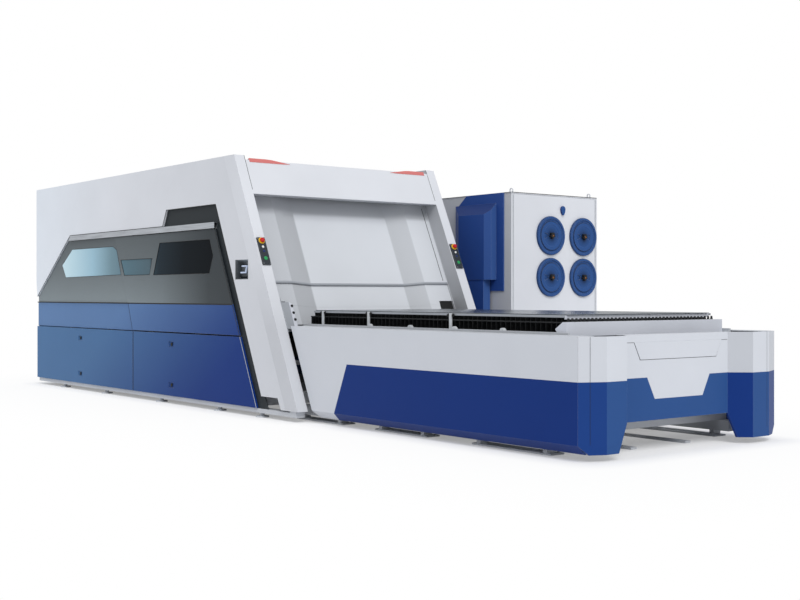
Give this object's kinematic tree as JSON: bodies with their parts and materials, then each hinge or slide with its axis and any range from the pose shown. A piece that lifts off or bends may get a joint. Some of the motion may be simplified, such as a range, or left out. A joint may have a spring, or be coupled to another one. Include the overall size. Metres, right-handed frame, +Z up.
{
  "type": "fiber laser cutting machine",
  "caption": "Enclosed sheet-metal laser cutter with leaning front portal, sliding side door, two-level pallet exchange table and a separate dust filter cabinet.",
  "frame": {"origin": "middle of the footprint, on the floor", "axes": "+X from the cabin's rear to the free end of the exchange table, +Y from the operator side to the filter side, +Z up"},
  "size_m": [8.816, 3.887, 2.314],
  "materials": {
    "white_coat": "semi-gloss powder coat, light grey-white",
    "blue_coat": "semi-gloss powder coat, deep blue",
    "dark_coat": "satin powder coat, dark grey",
    "light_coat": "satin powder coat, light grey",
    "bare_steel": "mill finish",
    "aluminium_profile": "satin anodised",
    "tinted_glass": "blue-tinted laser safety glazing",
    "red_lens": "translucent red",
    "red_plastic": "glossy",
    "white_plastic": "glossy",
    "blue_plastic": "glossy",
    "green_plastic": "glossy",
    "dark_plastic": "matt moulded"
  },
  "bodies": {
    "machine": {"machine_bed": "light_coat", "levelling_feet": "light_coat", "guide_rails": "bare_steel", "operator_side_cover": "white_coat", "far_side_cover": "white_coat", "rear_cover": "white_coat", "roof_cover": "white_coat", "fixed_blue_panels": "blue_coat", "front_portal": "white_coat", "status_lights": "red_lens", "shutter_top_panel": "light_coat", "entry_guard": "bare_steel", "door_surround": "dark_coat", "door_track": "aluminium_profile", "fixed_side_leaf": "dark_coat", "fixed_window": "tinted_glass", "control_plates": "dark_coat", "side_display": "dark_plastic", "laser_source": "light_coat", "table_frame": "light_coat", "table_side_covers": "white_coat", "end_cover": "white_coat", "table_skirts": "blue_coat", "filter_housing": "white_coat", "filter_hood": "blue_coat", "suction_duct": "light_coat", "filter_covers": "blue_coat", "drive_motor": "dark_coat"},
    "shutter": {"shutter_door": "light_coat"},
    "side_door": {"sliding_door": "dark_coat", "door_apron": "blue_coat", "door_windows": "tinted_glass"},
    "left_panel": {"lower_panel_left": "blue_coat"},
    "right_panel": {"lower_panel_right": "blue_coat"},
    "latch_left_upper_body": {"latch_left_upper": "dark_plastic"},
    "latch_left_lower_body": {"latch_left_lower": "dark_plastic"},
    "latch_right_upper_body": {"latch_right_upper": "dark_plastic"},
    "latch_right_lower_body": {"latch_right_lower": "dark_plastic"},
    "near_stop_button_body": {"near_stop_button": "red_plastic"},
    "near_white_button_body": {"near_white_button": "white_plastic"},
    "near_blue_button_body": {"near_blue_button": "blue_plastic"},
    "near_green_button_body": {"near_green_button": "green_plastic"},
    "far_stop_button_body": {"far_stop_button": "red_plastic"},
    "far_white_button_body": {"far_white_button": "white_plastic"},
    "far_blue_button_body": {"far_blue_button": "blue_plastic"},
    "far_green_button_body": {"far_green_button": "green_plastic"},
    "filter_knob_1_body": {"filter_knob_1": "dark_plastic"},
    "filter_knob_2_body": {"filter_knob_2": "dark_plastic"},
    "filter_knob_3_body": {"filter_knob_3": "dark_plastic"},
    "filter_knob_4_body": {"filter_knob_4": "dark_plastic"},
    "filter_latch_body": {"filter_latch": "dark_plastic"},
    "gantry": {"gantry_beam": "aluminium_profile"},
    "carriage": {"head_carriage": "dark_coat"},
    "head": {"cutting_head": "aluminium_profile"},
    "upper_exchange_pallet": {"upper_pallet": "light_coat", "pallet_slats": "bare_steel", "pallet_apron": "light_coat", "metal_sheet": "bare_steel"},
    "lower_exchange_pallet": {"lower_pallet": "bare_steel"},
    "chain_shaft": {"drive_shaft": "bare_steel"}
  },
  "joints": [
    {"name": "shutter_lift", "type": "slide", "parent": "machine", "child": "shutter", "axis": [-0.421, 0, 0.907], "range_m": [0, 0.32]},
    {"name": "side_door_slide", "type": "slide", "parent": "machine", "child": "side_door", "axis": [-1, 0, 0], "range_m": [0, 1.2]},
    {"name": "left_panel_lift_off", "type": "slide", "parent": "machine", "child": "left_panel", "axis": [0, -1, 0], "range_m": [0, 0.25]},
    {"name": "right_panel_lift_off", "type": "slide", "parent": "machine", "child": "right_panel", "axis": [0, -1, 0], "range_m": [0, 0.25]},
    {"name": "latch_left_upper_turn", "type": "hinge", "parent": "left_panel", "child": "latch_left_upper_body", "pos_m": [-3.11403, -1.9225, 0.582], "axis": [0, -1, 0], "range_deg": [0, 90]},
    {"name": "latch_left_lower_turn", "type": "hinge", "parent": "left_panel", "child": "latch_left_lower_body", "pos_m": [-3.11403, -1.9225, 0.186], "axis": [0, -1, 0], "range_deg": [0, 90]},
    {"name": "latch_right_upper_turn", "type": "hinge", "parent": "right_panel", "child": "latch_right_upper_body", "pos_m": [-0.94303, -1.9225, 0.582], "axis": [0, -1, 0], "range_deg": [0, 90]},
    {"name": "latch_right_lower_turn", "type": "hinge", "parent": "right_panel", "child": "latch_right_lower_body", "pos_m": [-0.94303, -1.9225, 0.186], "axis": [0, -1, 0], "range_deg": [0, 90]},
    {"name": "near_stop_button_press", "type": "slide", "parent": "machine", "child": "near_stop_button_body", "axis": [-0.907, 0, -0.421], "range_m": [0, 0.005], "stiffness_N_per_m": 900},
    {"name": "near_white_button_press", "type": "slide", "parent": "machine", "child": "near_white_button_body", "axis": [-0.907, 0, -0.421], "range_m": [0, 0.003], "stiffness_N_per_m": 500},
    {"name": "near_blue_button_press", "type": "slide", "parent": "machine", "child": "near_blue_button_body", "axis": [-0.907, 0, -0.421], "range_m": [0, 0.003], "stiffness_N_per_m": 500},
    {"name": "near_green_button_press", "type": "slide", "parent": "machine", "child": "near_green_button_body", "axis": [-0.907, 0, -0.421], "range_m": [0, 0.003], "stiffness_N_per_m": 500},
    {"name": "far_stop_button_press", "type": "slide", "parent": "machine", "child": "far_stop_button_body", "axis": [-0.907, 0, -0.421], "range_m": [0, 0.005], "stiffness_N_per_m": 900},
    {"name": "far_white_button_press", "type": "slide", "parent": "machine", "child": "far_white_button_body", "axis": [-0.907, 0, -0.421], "range_m": [0, 0.003], "stiffness_N_per_m": 500},
    {"name": "far_blue_button_press", "type": "slide", "parent": "machine", "child": "far_blue_button_body", "axis": [-0.907, 0, -0.421], "range_m": [0, 0.003], "stiffness_N_per_m": 500},
    {"name": "far_green_button_press", "type": "slide", "parent": "machine", "child": "far_green_button_body", "axis": [-0.907, 0, -0.421], "range_m": [0, 0.003], "stiffness_N_per_m": 500},
    {"name": "filter_knob_1_turn", "type": "hinge", "parent": "machine", "child": "filter_knob_1_body", "pos_m": [1.04896, 1.2545, 1.656], "axis": [1, 0, 0], "continuous": true},
    {"name": "filter_knob_2_turn", "type": "hinge", "parent": "machine", "child": "filter_knob_2_body", "pos_m": [1.04896, 1.7215, 1.656], "axis": [1, 0, 0], "continuous": true},
    {"name": "filter_knob_3_turn", "type": "hinge", "parent": "machine", "child": "filter_knob_3_body", "pos_m": [1.04896, 1.2545, 1.238], "axis": [1, 0, 0], "continuous": true},
    {"name": "filter_knob_4_turn", "type": "hinge", "parent": "machine", "child": "filter_knob_4_body", "pos_m": [1.04896, 1.7215, 1.238], "axis": [1, 0, 0], "continuous": true},
    {"name": "filter_latch_turn", "type": "hinge", "parent": "machine", "child": "filter_latch_body", "pos_m": [1.04196, 1.4235, 1.93], "axis": [1, 0, 0], "range_deg": [0, 90]},
    {"name": "gantry_travel", "type": "slide", "parent": "machine", "child": "gantry", "axis": [1, 0, 0], "range_m": [0, 3]},
    {"name": "carriage_travel", "type": "slide", "parent": "gantry", "child": "carriage", "axis": [0, 1, 0], "range_m": [-0.75, 0.75]},
    {"name": "head_lift", "type": "slide", "parent": "carriage", "child": "head", "axis": [0, 0, 1], "range_m": [-0.45, 0]},
    {"name": "upper_pallet_travel", "type": "slide", "parent": "machine", "child": "upper_exchange_pallet", "axis": [-1, 0, 0], "range_m": [0, 3.75]},
    {"name": "lower_pallet_travel", "type": "slide", "parent": "machine", "child": "lower_exchange_pallet", "axis": [1, 0, 0], "range_m": [0, 3.75]},
    {"name": "drive_shaft_turn", "type": "hinge", "parent": "machine", "child": "chain_shaft", "pos_m": [4.03203, -0.7825, 0.7], "axis": [0, 1, 0], "continuous": true}
  ],
  "couplings": [
    {"joint": "lower_pallet_travel", "follows": "upper_pallet_travel", "ratio": 1},
    {"joint": "drive_shaft_turn", "follows": "upper_pallet_travel", "rad_per_m": 16.667}
  ]
}
